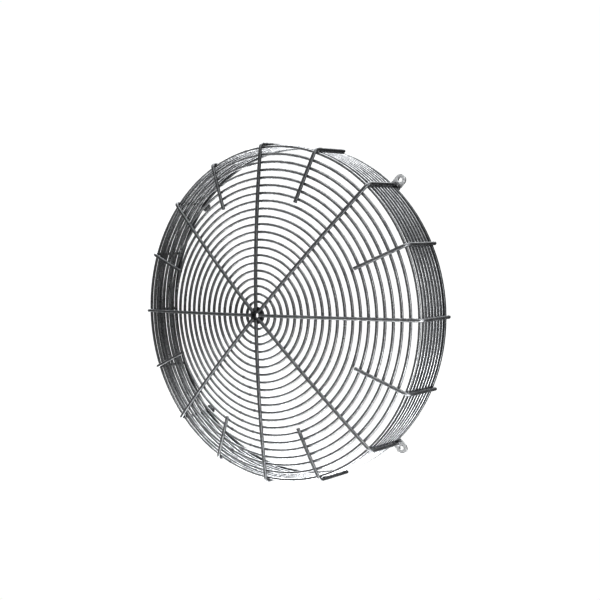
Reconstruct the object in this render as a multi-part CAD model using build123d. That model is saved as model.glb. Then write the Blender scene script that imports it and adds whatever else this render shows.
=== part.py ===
from build123d import *
import math
import os

# Round wire guard for an axial fan, a welded basket of galvanised steel wire.
# The fan's axis lies along Y. The domed face looks towards -Y and +Z is up.
# The origin is the centre of the bolt circle, in the plane that the four eyes bolt against.
# All sizes are in millimetres. A profile point is (r, f): the distance from the
# axis and the distance forward of the mounting plane.

# Wire
ring_wire_d = 5.5
frame_wire_d = 7.0
weld_gap = 0.05

# Face
first_ring_r = 29.3
ring_clear = 11.0
face_spaces = 20
crown_r = 2600.0

# Hub ring, a flat washer behind the inner ends of the spokes
hub_ring_d = 36.0
hub_hole_d = 10.0
hub_ring_t = 3.0

# Side wall
wall_depth = 96.5
wall_flare = 6.5
wall_spaces = 8
bend_r = 12.0

# Radial wires
spoke_count = 8
spoke_end_gap = 1.0
short_start_spaces = 14
short_overhang = 8.0

# Mounting eyes, flat lugs with a bolt hole in their outer end
eye_d = 24.0
eye_length = 48.0
eye_hole_d = 9.0
eye_t = 3.0
flat_edge_r = 0.5

ring_pitch = ring_clear + ring_wire_d
flare_sin = math.sin(math.radians(wall_flare))
flare_cos = math.cos(math.radians(wall_flare))
ring_offset = (frame_wire_d + ring_wire_d) / 2 + weld_gap
frame_offset = frame_wire_d + weld_gap
corner_ring_r = first_ring_r + face_spaces * ring_pitch

# The bend of every radial wire, with the corner ring nested half way round inside it,
# and the crown that the face wires lie on
bend_centre_r = corner_ring_r - (bend_r - ring_offset) * math.cos(math.radians(45))
bend_centre_f = wall_depth
crown_centre_f = bend_centre_f - math.sqrt((crown_r - bend_r) ** 2 - bend_centre_r ** 2)


def crown_f(r, offset=0.0):
    """Forward distance, at radius r, of the crown moved inwards by offset."""
    return crown_centre_f + math.sqrt((crown_r - offset) ** 2 - r ** 2)


def bend_point(direction_r, direction_f, distance):
    """The point at a distance from the bend's centre, in the given direction."""
    length = math.hypot(direction_r, direction_f)
    return (
        bend_centre_r + distance * direction_r / length,
        bend_centre_f + distance * direction_f / length,
    )


# Where the bend leaves the face and where it meets the leg, and its middle
face_out = (bend_centre_r, bend_centre_f - crown_centre_f)
face_out_length = math.hypot(*face_out)
face_normal = (face_out[0] / face_out_length, face_out[1] / face_out_length)
leg_normal = (flare_cos, flare_sin)
bend_middle = (face_normal[0] + leg_normal[0], face_normal[1] + leg_normal[1])
bend_start = bend_point(*face_normal, bend_r)
bend_mid = bend_point(*bend_middle, bend_r)
bend_end = bend_point(*leg_normal, bend_r)


def leg_point(f, offset=0.0):
    """The point of the leg's centre line moved inwards by offset, at height f."""
    base_r = bend_end[0] - offset * flare_cos
    base_f = bend_end[1] - offset * flare_sin
    return (base_r + (base_f - f) * flare_sin / flare_cos, f)


leg_end_f = eye_t + weld_gap
leg_end = leg_point(leg_end_f)
corner_ring = bend_point(*bend_middle, bend_r - ring_offset)
rim_ring = leg_point(leg_end_f + frame_wire_d / 2, frame_offset)
eye_centre_r = leg_end[0] + eye_d / 2


def wire_ring(r, f, wire_d):
    """A closed ring of round wire around the axis."""
    plane = Plane(origin=(0, -f, 0), x_dir=(1, 0, 0), z_dir=(0, -1, 0))
    return plane * Torus(r, wire_d / 2)


def profile_point(r, f):
    """A profile point on the X axis side of the guard."""
    return (r, -f, 0)


def radial_wire(inner_r, angle):
    """A wire along the crown, bent back over the corner and down the wall."""
    tail_f = leg_end_f - frame_wire_d
    start = profile_point(inner_r, crown_f(inner_r))
    middle_r = (inner_r + bend_start[0]) / 2
    middle = profile_point(middle_r, crown_f(middle_r))
    corner_in = profile_point(*bend_start)
    corner_out = profile_point(*bend_end)
    path = (
        ThreePointArc(start, middle, corner_in)
        + ThreePointArc(corner_in, profile_point(*bend_mid), corner_out)
        + Line(corner_out, profile_point(*leg_point(tail_f)))
    )
    section = Plane(origin=path @ 0, z_dir=path % 0) * Circle(frame_wire_d / 2)
    wire = sweep(section, path=path)
    cut = Plane(origin=(0, -leg_end_f, 0), x_dir=(1, 0, 0), z_dir=(0, -1, 0))
    wire = split(wire, bisect_by=cut, keep=Keep.TOP)
    return wire.rotate(Axis.Y, -angle)


def flat_plate(outline, r, f, hole_d, thickness):
    """A plate standing forward from (r, f), with its edges eased and a hole at (r, f)."""
    plane = Plane(origin=(r, -f, 0), x_dir=(1, 0, 0), z_dir=(0, -1, 0))
    plate = extrude(plane * outline, thickness)
    plate = fillet(plate.faces().filter_by(Axis.Y).edges(), flat_edge_r)
    return plate - extrude(plane * Circle(hole_d / 2), thickness)


def hub_ring():
    """The washer at the centre, just behind the spokes at its outer edge."""
    front_f = crown_f(hub_ring_d / 2) - frame_wire_d / 2 - weld_gap
    return flat_plate(Circle(hub_ring_d / 2), 0, front_f - hub_ring_t, hub_hole_d, hub_ring_t)


def mounting_eye(angle):
    """A round-ended lug that the end of a diagonal spoke and the rim ring are welded to."""
    reach = eye_length - eye_d
    outline = Pos(-reach / 2, 0) * SlotCenterToCenter(reach, eye_d)
    return flat_plate(outline, eye_centre_r, 0, eye_hole_d, eye_t).rotate(Axis.Y, -angle)


def crown_ring(number):
    """The face ring that has this many others inside it."""
    r = first_ring_r + number * ring_pitch
    return wire_ring(r, crown_f(r, ring_offset), ring_wire_d)


def wall_ring(number):
    """The wall ring at this many spaces behind the corner ring."""
    f = corner_ring[1] + (rim_ring[1] - corner_ring[1]) * number / wall_spaces
    return wire_ring(*leg_point(f, ring_offset), ring_wire_d)


spoke_step = 360.0 / spoke_count
parts = {"hub_ring": hub_ring()}
for number in range(face_spaces):
    parts[f"face_ring_{number + 1:02d}"] = crown_ring(number)
parts["corner_ring"] = wire_ring(*corner_ring, ring_wire_d)
for number in range(1, wall_spaces):
    parts[f"wall_ring_{number}"] = wall_ring(number)
parts["rim_ring"] = wire_ring(*rim_ring, frame_wire_d)

# The spokes stop where their inner ends still stand this gap apart
half_step = math.radians(spoke_step / 2)
spoke_inner_r = (frame_wire_d * math.cos(half_step) + spoke_end_gap) / (2 * math.sin(half_step))
short_inner_r = first_ring_r + short_start_spaces * ring_pitch - short_overhang
for number in range(spoke_count):
    angle = number * spoke_step
    parts[f"spoke_{number + 1}"] = radial_wire(spoke_inner_r, angle)
    parts[f"short_wire_{number + 1}"] = radial_wire(short_inner_r, angle + spoke_step / 2)
    if number % 2 == 1:
        parts[f"mounting_eye_{(number + 1) // 2}"] = mounting_eye(angle)

os.makedirs("parts", exist_ok=True)
for name, solid in parts.items():
    export_step(solid, f"parts/{name}.step")

print(f"corner ring r {corner_ring[0]:.2f} f {corner_ring[1]:.2f}")
print(f"rim ring r {rim_ring[0]:.2f} f {rim_ring[1]:.2f}")
print(f"leg end r {leg_end[0]:.2f}, bolt circle d {2 * eye_centre_r:.2f}")
print(f"spoke inner end r {spoke_inner_r:.2f}, front {crown_f(0) + frame_wire_d / 2:.2f}")
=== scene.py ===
import math

import bpy
import numpy as np
from mathutils import Matrix, Vector


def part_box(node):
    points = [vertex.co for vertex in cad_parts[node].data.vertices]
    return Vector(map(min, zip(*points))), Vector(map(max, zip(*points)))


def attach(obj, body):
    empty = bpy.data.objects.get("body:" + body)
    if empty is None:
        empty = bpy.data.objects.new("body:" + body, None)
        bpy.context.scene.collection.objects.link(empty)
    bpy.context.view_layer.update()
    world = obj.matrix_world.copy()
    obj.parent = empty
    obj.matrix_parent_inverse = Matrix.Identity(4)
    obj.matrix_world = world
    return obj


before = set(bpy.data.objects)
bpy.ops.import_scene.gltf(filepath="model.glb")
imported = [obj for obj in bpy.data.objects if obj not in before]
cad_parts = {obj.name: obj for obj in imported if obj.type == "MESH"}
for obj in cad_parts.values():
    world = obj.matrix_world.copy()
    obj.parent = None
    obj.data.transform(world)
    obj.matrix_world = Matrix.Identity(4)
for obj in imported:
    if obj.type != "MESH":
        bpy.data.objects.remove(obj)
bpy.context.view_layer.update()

MM = 0.001

# The driving sizes of the part's source that the welds and the finishes need, in millimetres
RING_WIRE_R = 2.75
FRAME_WIRE_R = 3.5
WELD_GAP = 0.05
CROWN_R = 2600.0
WALL_FLARE = math.radians(6.5)
EYE_T = 3.0
SHORT_WIRE_RINGS = 6


def nodes_named(start):
    """The frame's nodes whose names start like this, in order."""
    return sorted(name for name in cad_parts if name.startswith(start))


def full_turn(count):
    """Angles evenly spaced round a full turn."""
    return np.arange(count) / count * 2 * math.pi


# The radial wires by their angles
SPOKES = full_turn(len(nodes_named("spoke")))
SPOKE_STEP = 2 * math.pi / len(SPOKES)
SHORT_WIRES = SPOKES + SPOKE_STEP / 2
RADIAL_WIRES = np.concatenate([SPOKES, SHORT_WIRES])
EYES = SPOKES[1::2]


# Finishes

# The sizes of the zinc's features in millimetres, and how many times longer than wide its runs are
# and how many times higher than the peel
CLOUD_MM = 18.0
RUN_MM = 1.6
PEEL_MM = 0.7
RELIEF_MM = 0.07
RUN_STRETCH = 6
RUN_HEIGHT = 2.0

# How much the grains and the runs add to the clouds, the range of that sum from the darkest to the
# lightest zinc, the clouds' range from full bloom to clean metal, and how much duller or less dull
# than its mean the zinc is
GRAIN_SHARE = 0.35
RUN_SHARE = 0.2
TONE_RANGE = (0.45, 1.05)
CLOUD_RANGE = (0.3, 0.8)
DULL_CHANGE = 0.08


def new_material(name):
    """A node material with only its shader and output."""
    mat = bpy.data.materials.new(name)
    mat.use_nodes = True
    nodes, links = mat.node_tree.nodes, mat.node_tree.links
    nodes.clear()
    out = nodes.new("ShaderNodeOutputMaterial")
    shader = nodes.new("ShaderNodeBsdfPrincipled")
    links.new(shader.outputs["BSDF"], out.inputs["Surface"])
    return mat, shader


def feed(owner, socket, value):
    """Gives an input socket of a material or world a plain number or another node's output."""
    if isinstance(value, (int, float)):
        socket.default_value = value
    else:
        owner.node_tree.links.new(value, socket)


def reckon(owner, operation, *values):
    """The output of a new math node on sockets and plain numbers."""
    node = owner.node_tree.nodes.new("ShaderNodeMath")
    node.operation = operation
    for socket, value in zip(node.inputs, values):
        feed(owner, socket, value)
    return node.outputs["Value"]


def spread(mat, value, low, high, new_low, new_high):
    """A value taken from one range to another and held inside it."""
    node = mat.node_tree.nodes.new("ShaderNodeMapRange")
    node.inputs["From Min"].default_value = low
    node.inputs["From Max"].default_value = high
    node.inputs["To Min"].default_value = new_low
    node.inputs["To Max"].default_value = new_high
    feed(mat, node.inputs["Value"], value)
    return node.outputs["Result"]


def noise(mat, place, grain_mm, detail, roughness=0.55):
    """Cloudy noise whose largest lumps are about grain_mm across."""
    node = mat.node_tree.nodes.new("ShaderNodeTexNoise")
    node.inputs["Scale"].default_value = 1.0 / (grain_mm * MM)
    node.inputs["Detail"].default_value = detail
    node.inputs["Roughness"].default_value = roughness
    feed(mat, node.inputs["Vector"], place)
    return node.outputs["Fac"]


def wire_place(mat, coords, lie):
    """A place measured along and across the wire, with lengths along it shortened, so that a noise
    read there runs along the wire. Round a ring the length is radius times angle, and across it
    are the radius and the depth. On a radial wire the length is radius plus depth, and across it
    is radius times the sine of the angle from the nearest radial wire."""
    def calc(operation, *values):
        return reckon(mat, operation, *values)

    nodes = mat.node_tree.nodes
    parts = nodes.new("ShaderNodeSeparateXYZ")
    feed(mat, parts.inputs["Vector"], coords)
    x, y, z = (parts.outputs[k] for k in "XYZ")
    radius = calc("SQRT", calc("ADD", calc("MULTIPLY", x, x), calc("MULTIPLY", z, z)))
    angle = calc("ARCTAN2", z, x)
    if lie == "ring":
        along = calc("MULTIPLY", radius, angle)
        across, depth = radius, y
    else:
        wire_step = SPOKE_STEP / 2
        steps = calc("DIVIDE", angle, wire_step)
        off = calc("MULTIPLY", calc("SUBTRACT", steps, calc("ROUND", steps)), wire_step)
        along = calc("ADD", radius, y)
        across, depth = calc("MULTIPLY", radius, calc("SINE", off)), 0.0
    joined = nodes.new("ShaderNodeCombineXYZ")
    feed(mat, joined.inputs["X"], across)
    feed(mat, joined.inputs["Y"], depth)
    feed(mat, joined.inputs["Z"], calc("MULTIPLY", along, 1 / RUN_STRETCH))
    return joined.outputs["Vector"]


def zinc(name, dark, light, dull, spangle_mm, bloom, lie="plate"):
    """Hot-dip zinc. Crystal grains of about spangle_mm are each a little lighter or darker and
    more or less dull. Grey oxide clouds lie over them and take the metal's shine down by bloom.
    The coat's skin is a fine orange peel, with low runs and ripples along the wire."""
    mat, shader = new_material(name)
    nodes = mat.node_tree.nodes
    coords = nodes.new("ShaderNodeTexCoord").outputs["Object"]
    run_place = coords if lie == "plate" else wire_place(mat, coords, lie)

    grains = nodes.new("ShaderNodeTexVoronoi")
    grains.inputs["Scale"].default_value = 1.0 / (spangle_mm * MM)
    feed(mat, grains.inputs["Vector"], coords)
    grain = nodes.new("ShaderNodeSeparateColor")
    feed(mat, grain.inputs["Color"], grains.outputs["Color"])

    clouds = noise(mat, coords, CLOUD_MM, detail=5.0, roughness=0.6)
    runs = noise(mat, run_place, RUN_MM, detail=2.0)
    peel = noise(mat, coords, PEEL_MM, detail=3.0)

    tone = reckon(mat, "MULTIPLY_ADD", grain.outputs["Red"], GRAIN_SHARE, clouds)
    tone = reckon(mat, "MULTIPLY_ADD", runs, RUN_SHARE, tone)
    tone = spread(mat, tone, *TONE_RANGE, 0.0, 1.0)
    ramp = nodes.new("ShaderNodeValToRGB")
    ramp.color_ramp.elements[0].color = (*dark, 1.0)
    ramp.color_ramp.elements[1].color = (*light, 1.0)
    feed(mat, ramp.inputs["Fac"], tone)
    feed(mat, shader.inputs["Base Color"], ramp.outputs["Color"])

    # The darker grains and clouds are the duller ones, and the darker clouds have more bloom
    roughness = spread(mat, tone, 0.0, 1.0, dull + DULL_CHANGE, dull - DULL_CHANGE)
    feed(mat, shader.inputs["Roughness"], roughness)
    feed(mat, shader.inputs["Metallic"], spread(mat, clouds, *CLOUD_RANGE, 1.0 - bloom, 1.0))

    bump = nodes.new("ShaderNodeBump")
    bump.inputs["Strength"].default_value = 0.4
    bump.inputs["Distance"].default_value = RELIEF_MM * MM
    feed(mat, bump.inputs["Height"], reckon(mat, "MULTIPLY_ADD", runs, RUN_HEIGHT, peel))
    feed(mat, shader.inputs["Normal"], bump.outputs["Normal"])
    return mat


ring_zinc = zinc("ring_zinc", (0.37, 0.375, 0.385), (0.57, 0.575, 0.58),
                 dull=0.32, spangle_mm=2.6, bloom=0.25, lie="ring")
frame_zinc = zinc("frame_zinc", (0.29, 0.295, 0.305), (0.47, 0.475, 0.48),
                  dull=0.50, spangle_mm=3.0, bloom=0.25, lie="radial")
# Painted shade: the rim ring's zinc is much darker than the other wires' zinc, standing for the
# shade on the rim at the back of the guard
rim_painted_shade_zinc = zinc("rim_painted_shade_zinc", (0.18, 0.185, 0.19), (0.31, 0.315, 0.32),
                dull=0.35, spangle_mm=3.0, bloom=0.25, lie="ring")
# Painted light: the eyes' zinc is much lighter than the wires' zinc, standing for the light falling
# on the eyes' flat fronts
plate_painted_light_zinc = zinc("plate_painted_light_zinc", (0.64, 0.645, 0.65), (0.86, 0.865, 0.87),
                  dull=0.28, spangle_mm=3.4, bloom=0.20)
hub_zinc = zinc("hub_zinc", (0.26, 0.265, 0.275), (0.42, 0.425, 0.43),
                dull=0.36, spangle_mm=3.4, bloom=0.25)
# The welds' zinc is darker, partly as the beads' rougher, more oxidised zinc and partly as painted
# shade in the creases where the wires meet
weld_zinc_and_crease_shade = zinc("weld_zinc_and_crease_shade", (0.26, 0.26, 0.27), (0.45, 0.455, 0.46),
                 dull=0.43, spangle_mm=1.4, bloom=0.40)

FINISHES = {
    "hub_ring": hub_zinc,
    "face_ring": ring_zinc,
    "corner_ring": ring_zinc,
    "wall_ring": ring_zinc,
    "rim_ring": rim_painted_shade_zinc,
    "spoke": frame_zinc,
    "short_wire": frame_zinc,
    "mounting_eye": plate_painted_light_zinc,
}
for start, finish in FINISHES.items():
    for name in nodes_named(start):
        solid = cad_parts[name].data
        solid.materials.clear()
        solid.materials.append(finish)


# Welds, which the solids leave out

# The least and the most of a bead's half sizes in millimetres: off the wire or plate that it lies
# on, round the guard's axis, and across both
CROSSING_BEAD = ((0.85, 1.15), (2.3, 2.9), (2.4, 3.0))
HUB_BEAD = ((0.9, 1.2), (2.9, 3.3), (3.4, 3.9))
SEAT_BEAD = ((0.9, 1.2), (8.0, 9.5), (3.2, 3.7))

# How far from the axis the hub's beads lie, in millimetres
HUB_BEAD_R = 14.3

# The share of a bead's half turn from pole to pole that the cap at each pole takes
POLE_CAP = 0.12

# The rings' butt welds: how proud and half how long they are, in millimetres, then the middle and
# the reach of their stagger round the guard in degrees, and its turn in radians from ring to ring
JOINT_PROUD = (0.35, 0.55)
JOINT_HALF_LENGTH = (4.4, 5.4)
JOINT_ANGLE = 258.0
JOINT_STAGGER = 7.0
JOINT_TURN = 2.4

# The fillets at the feet of the diagonal legs: their width and height, how deep they go into the
# leg and the eye, all in millimetres, and the shares of their slow and quick waver
FILLET_WIDTH = 2.1
FILLET_HEIGHT = 2.4
FILLET_IN_LEG = 0.4
FILLET_IN_EYE = 0.2
SLOW_WAVER = 0.12
QUICK_WAVER = 0.06

FORWARD = np.array([0.0, -1.0, 0.0])
draw = np.random.default_rng(7)


def outward(angles):
    """Unit vectors away from the axis at these angles, which run from +X up to +Z."""
    return np.stack([np.cos(angles), np.zeros_like(angles), np.sin(angles)], -1)


def around_axis(angles):
    """Unit vectors round the axis at these angles."""
    return np.stack([-np.sin(angles), np.zeros_like(angles), np.cos(angles)], -1)


def ring_place(node):
    """Radius and forward distance of a ring's centre line, in millimetres, from its solid's box."""
    low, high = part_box(node)
    wire_r = (high.y - low.y) / 2
    return ((high.x - low.x) / 2 - wire_r) / MM, -(high.y + low.y) / 2 / MM


def draw_sizes(ranges, count):
    """One size from each range for each of count beads."""
    return np.stack([draw.uniform(low, high, count) for low, high in ranges], -1)


def lay_welds(name, points, faces):
    """A smooth weld piece from points in millimetres, riding on the guard."""
    mesh = bpy.data.meshes.new(name)
    mesh.from_pydata((points.reshape(-1, 3) * MM).tolist(), [], faces)
    mesh.update()
    mesh.polygons.foreach_set("use_smooth", np.ones(len(mesh.polygons), bool))
    mesh.materials.append(weld_zinc_and_crease_shade)
    piece = bpy.data.objects.new(name, mesh)
    bpy.context.scene.collection.objects.link(piece)
    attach(piece, "root")
    return piece


def beads(name, centres, normals, tangents, half_sizes, around=10, along=4):
    """Beads squeezed out of a weld. Each is an ellipsoid: at latitude t from its first pole and
    longitude p, a point lies -cos t half sizes along the normal, sin t cos p half sizes along the
    tangent and sin t sin p half sizes along their cross product."""
    t = np.linspace(POLE_CAP, 1 - POLE_CAP, along) * math.pi
    p = full_turn(around)
    belts = np.stack(np.broadcast_arrays(
        -np.cos(t)[:, None], np.sin(t)[:, None] * np.cos(p), np.sin(t)[:, None] * np.sin(p)), -1)
    unit = np.vstack([[-1.0, 0.0, 0.0], belts.reshape(-1, 3), [1.0, 0.0, 0.0]])
    axes = np.stack([normals, tangents, np.cross(normals, tangents)], 1) * half_sizes[:, :, None]
    points = centres[:, None, :] + np.einsum("vk,nkc->nvc", unit, axes)

    i = np.arange(around)
    j = (i + 1) % around
    row = 1 + np.arange(along - 1)[:, None] * around
    quads = np.stack([row + i, row + j, row + j + around, row + i + around], -1).reshape(-1, 4)
    last = len(unit) - 1
    start = np.stack([np.zeros(around, int), 1 + j, 1 + i], -1)
    end = np.stack([np.full(around, last), last - around + i, last - around + j], -1)
    shift = (np.arange(len(centres)) * len(unit))[:, None, None]
    faces = []
    for part in (quads, start, end):
        faces += (part + shift).reshape(-1, part.shape[1]).tolist()
    return lay_welds(name, points, faces)


def crossing_welds(name, rings, angles, leans, wire_r):
    """One bead where each ring meets each radial wire: the ring's centre line moved by the wire's
    radius along the lean of the surface that the radial wires follow there."""
    ring_r, ring_f = np.repeat(np.array(rings), len(angles), axis=0).T
    lean = np.repeat(leans, len(angles))
    at = np.tile(angles, len(rings))
    normals = outward(at) * np.cos(lean)[:, None] + FORWARD * np.sin(lean)[:, None]
    centres = outward(at) * ring_r[:, None] + FORWARD * ring_f[:, None]
    centres = centres + normals * (wire_r + WELD_GAP / 2)
    half = draw_sizes(CROSSING_BEAD, len(centres))
    return beads(name, centres, normals, around_axis(at), half)


face_places = [ring_place(name) for name in nodes_named("face_ring")]
face_leans = [math.acos(r / CROWN_R) for r, f in face_places]
wall_places = [ring_place(name) for name in nodes_named("wall_ring")]
wall_leans = [WALL_FLARE] * len(wall_places)
corner_place = ring_place("corner_ring")
corner_lean = (math.acos(corner_place[0] / CROWN_R) + WALL_FLARE) / 2
rim_place = ring_place("rim_ring")

crossing_welds("face_welds", face_places, SPOKES, face_leans, RING_WIRE_R)
crossing_welds("short_wire_welds", face_places[-SHORT_WIRE_RINGS:], SHORT_WIRES,
               face_leans[-SHORT_WIRE_RINGS:], RING_WIRE_R)
crossing_welds("wall_welds", wall_places, RADIAL_WIRES, wall_leans, RING_WIRE_R)
crossing_welds("corner_welds", [corner_place], RADIAL_WIRES, [corner_lean], RING_WIRE_R)
crossing_welds("rim_welds", [rim_place], RADIAL_WIRES, [WALL_FLARE], FRAME_WIRE_R)


def flat_welds(name, r, f, angles, bead, around, along):
    """Low beads at radius r on a flat plate's front at forward distance f, one at each angle."""
    centres = outward(angles) * r + FORWARD * (f + WELD_GAP / 2)
    normals = np.tile(FORWARD, (len(angles), 1))
    half = draw_sizes(bead, len(angles))
    return beads(name, centres, normals, around_axis(angles), half, around, along)


def hub_welds():
    """A long bead under the inner end of each spoke, between it and the washer's front."""
    front_f = -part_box("hub_ring")[0].y / MM
    return flat_welds("hub_welds", HUB_BEAD_R, front_f, SPOKES, HUB_BEAD, around=14, along=5)


def ring_joints(name, places, wire_r):
    """The butt weld that closes each ring: an ellipsoid round the wire, about half a millimetre
    proud of it at its middle. The joints are staggered near the bottom of the guard."""
    wave = np.sin(JOINT_TURN * np.arange(len(places)))
    angles = np.radians(JOINT_ANGLE + JOINT_STAGGER * wave)
    r, f = np.array(places).T
    centres = outward(angles) * r[:, None] + FORWARD * f[:, None]
    proud, half_length = draw_sizes((JOINT_PROUD, JOINT_HALF_LENGTH), len(places)).T
    half = np.stack([wire_r + proud, half_length, wire_r + proud], -1)
    return beads(name, centres, outward(angles), around_axis(angles), half,
                 around=24, along=9)


def rim_seats():
    """A long low bead where the rim ring lies on each eye."""
    return flat_welds("rim_seats", rim_place[0], EYE_T, EYES, SEAT_BEAD, around=28, along=7)


def foot_fillets():
    """The fillet weld round the foot of each diagonal leg on its eye. Round the leg by angle u, and
    across the weld by v from its top to its toe, a point stands at the wire's radius plus width
    times v and at height times (1 - v) squared above the eye; width and height waver with u. Two
    more points inside the leg and the eye close the section."""
    leg_end_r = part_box("spoke_1")[1].x / MM - FRAME_WIRE_R / math.cos(WALL_FLARE)
    u = full_turn(40)
    v = np.linspace(0.0, 1.0, 7)
    points = []
    for k, angle in enumerate(EYES):
        waver = 1.0 + SLOW_WAVER * np.sin(3 * u + 1.7 * k) + QUICK_WAVER * np.sin(8 * u + k)
        width = FILLET_WIDTH * waver[:, None]
        height = FILLET_HEIGHT * waver[::-1, None]
        in_leg = np.full_like(width, FRAME_WIRE_R - FILLET_IN_LEG)
        in_eye = np.full_like(width, -FILLET_IN_EYE)
        reach = np.hstack([FRAME_WIRE_R + width * v, in_leg, in_leg])[:, :, None]
        rise = np.hstack([height * (1.0 - v) ** 2, in_eye, height * 0.9])[:, :, None]
        foot = outward(angle) * leg_end_r + FORWARD * EYE_T
        points.append(foot + outward(u)[:, None, :] * reach + FORWARD * rise)

    rows, belt = len(u), len(v) + 2
    row = np.arange(rows)[:, None] * belt
    a = row + np.arange(belt)
    b = row + (np.arange(belt) + 1) % belt
    quads = np.stack([a, b, np.roll(b, -1, 0), np.roll(a, -1, 0)], -1).reshape(-1, 4)
    faces = []
    for k in range(len(EYES)):
        faces += (quads + k * rows * belt).tolist()
    return lay_welds("foot_fillets", np.stack(points), faces)


hub_welds()
ring_joints("ring_joints", face_places + [corner_place] + wall_places, RING_WIRE_R)
ring_joints("rim_joint", [rim_place], FRAME_WIRE_R)
rim_seats()
foot_fillets()


# Floor, light and camera

# The floor and the backdrop are equally bright, just past white
STUDIO_WHITE = 1.02
FLOOR_Z = -0.95
FLOOR_R = 2.4


def plain_floor():
    """A pale disc lit from within, as a light table is, and no brighter than the backdrop, so that
    thin wires stand out alike before both. The wires don't mirror it."""
    points = outward(full_turn(96))[:, [0, 2, 1]] * FLOOR_R + np.array([0.0, 0.0, FLOOR_Z])
    mesh = bpy.data.meshes.new("floor")
    mesh.from_pydata(points.tolist(), [], [list(range(len(points)))])
    floor = bpy.data.objects.new("floor", mesh)
    bpy.context.scene.collection.objects.link(floor)
    mat, shader = new_material("pale_floor")
    shader.inputs["Base Color"].default_value = (0.0, 0.0, 0.0, 1.0)
    shader.inputs["Specular IOR Level"].default_value = 0.0
    shader.inputs["Emission Color"].default_value = (1.0, 1.0, 1.0, 1.0)
    shader.inputs["Emission Strength"].default_value = STUDIO_WHITE
    mesh.materials.append(mat)
    floor.visible_glossy = False
    return floor


plain_floor()


def white_background(world, strength):
    """An even white background of this strength, a number or a socket."""
    background = world.node_tree.nodes.new("ShaderNodeBackground")
    background.inputs["Color"].default_value = (1.0, 1.0, 1.0, 1.0)
    feed(world, background.inputs["Strength"], strength)
    return background.outputs["Background"]


def studio_world(lights):
    """Soft lights all round on a dark room, and a plain white backdrop that only the camera sees.
    Each light is an elevation and an azimuth in degrees, a sharpness and a strength: its brightness
    is the strength times the cosine of the angle from its middle, raised to the sharpness. Azimuth
    0 is in front and 90 on the right."""
    world = bpy.data.worlds.new("studio")
    bpy.context.scene.world = world
    world.use_nodes = True
    nodes, links = world.node_tree.nodes, world.node_tree.links
    nodes.clear()
    out = nodes.new("ShaderNodeOutputWorld")
    towards = nodes.new("ShaderNodeTexCoord").outputs["Generated"]
    total = 0.0
    for elevation, azimuth, sharpness, strength in lights:
        e, a = math.radians(elevation), math.radians(azimuth)
        middle = (math.sin(a) * math.cos(e), -math.cos(a) * math.cos(e), math.sin(e))
        dot = nodes.new("ShaderNodeVectorMath")
        dot.operation = "DOT_PRODUCT"
        links.new(towards, dot.inputs[0])
        dot.inputs[1].default_value = middle
        facing = reckon(world, "MAXIMUM", dot.outputs["Value"], 0.0)
        glow = reckon(world, "MULTIPLY", reckon(world, "POWER", facing, sharpness), strength)
        total = reckon(world, "ADD", total, glow)
    mix = nodes.new("ShaderNodeMixShader")
    links.new(nodes.new("ShaderNodeLightPath").outputs["Is Camera Ray"], mix.inputs["Fac"])
    links.new(white_background(world, total), mix.inputs[1])
    links.new(white_background(world, STUDIO_WHITE), mix.inputs[2])
    links.new(mix.outputs["Shader"], out.inputs["Surface"])


STUDIO_LIGHTS = {
    "overhead": (90, 0, 8, 2.3),
    "high front": (45, 0, 10, 0.8),
    "high right front": (45, 60, 10, 1.8),
    "high right rear": (45, 120, 10, 0.5),
    "high rear": (45, 180, 10, 2.6),
    "high left rear": (45, 240, 10, 3.1),
    "high left front": (45, 300, 10, 0.5),
    "low left rear": (12, 214, 20, 0.7),
    "low left": (12, 254, 20, 2.3),
    "level left front": (4, 337, 25, 1.5),
    "under left rear": (-45, 210, 10, 0.8),
    "under left": (-45, 270, 10, 0.9),
    "under left front": (-45, 330, 10, 1.9),
}
studio_world(STUDIO_LIGHTS.values())


def softbox(name, place, target, size, power):
    """A large square light that faces its target."""
    data = bpy.data.lights.new(name, "AREA")
    data.shape = "SQUARE"
    data.size = size
    data.energy = power
    lamp = bpy.data.objects.new(name, data)
    bpy.context.scene.collection.objects.link(lamp)
    lamp.location = place
    lamp.rotation_mode = "QUATERNION"
    lamp.rotation_quaternion = (Vector(target) - Vector(place)).to_track_quat("-Z", "Y")
    lamp.visible_camera = False
    return lamp


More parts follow.
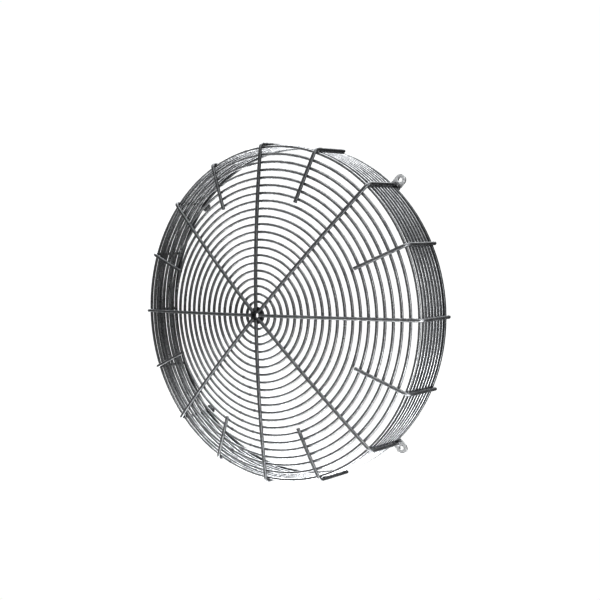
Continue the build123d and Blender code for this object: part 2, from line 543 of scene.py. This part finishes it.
softbox("right_softbox", (1.0, -0.25, 0.0), (0.3, 0.0, 0.0), size=0.9, power=5.0)
softbox("low_right_softbox", (0.8, -0.2, -0.7), (0.3, 0.0, -0.2), size=0.8, power=7.5)
softbox("under_softbox", (0.0, 0.0, -0.92), (0.0, 0.0, -0.3), size=0.8, power=7.5)
softbox("low_left_softbox", (-0.75, 0.25, -0.75), (-0.25, 0.0, -0.25), size=0.8, power=7.0)
softbox("left_rear_softbox", (-0.8, 0.7, 0.4), (-0.25, 0.0, 0.2), size=0.8, power=4.4)

# Thin wires keep their full darkness where they cover part of a pixel
bpy.context.scene.view_settings.view_transform = "Standard"
bpy.context.scene.view_settings.gamma = 0.45

# The photograph's camera, fitted to the guard's outline and to the radial wires. Its turns are in
# radians and its distances from the origin in metres.
IMAGE_PX = 600.0
FOCAL_PX = 606.6
SENSOR_MM = 36.0
AZIMUTH = math.radians(34.47)
ELEVATION = math.radians(2.72)
ROLL = math.radians(-0.746)
DISTANCE = 1.4027
SIDEWAYS = 0.0189
UPWARDS = 0.0268


def photo_camera():
    """The camera looks back along its azimuth and elevation at a point beside the origin, turned
    by its roll."""
    back = np.array([
        math.sin(AZIMUTH) * math.cos(ELEVATION),
        -math.cos(AZIMUTH) * math.cos(ELEVATION),
        math.sin(ELEVATION),
    ])
    level_right = np.array([math.cos(AZIMUTH), math.sin(AZIMUTH), 0.0])
    level_up = np.cross(back, level_right)
    right = math.cos(ROLL) * level_right + math.sin(ROLL) * level_up
    up = -math.sin(ROLL) * level_right + math.cos(ROLL) * level_up
    eye = SIDEWAYS * right + UPWARDS * up + DISTANCE * back
    lens = bpy.data.cameras.new("photo_camera")
    lens.sensor_width = SENSOR_MM
    lens.lens = FOCAL_PX / IMAGE_PX * SENSOR_MM
    lens.clip_start = 0.05
    lens.clip_end = 50.0
    camera = bpy.data.objects.new("photo_camera", lens)
    bpy.context.scene.collection.objects.link(camera)
    columns = np.column_stack([right, up, back, eye])
    camera.matrix_world = Matrix([*columns.tolist(), [0.0, 0.0, 0.0, 1.0]])
    return camera


bpy.context.scene.camera = photo_camera()

bpy.context.view_layer.update()
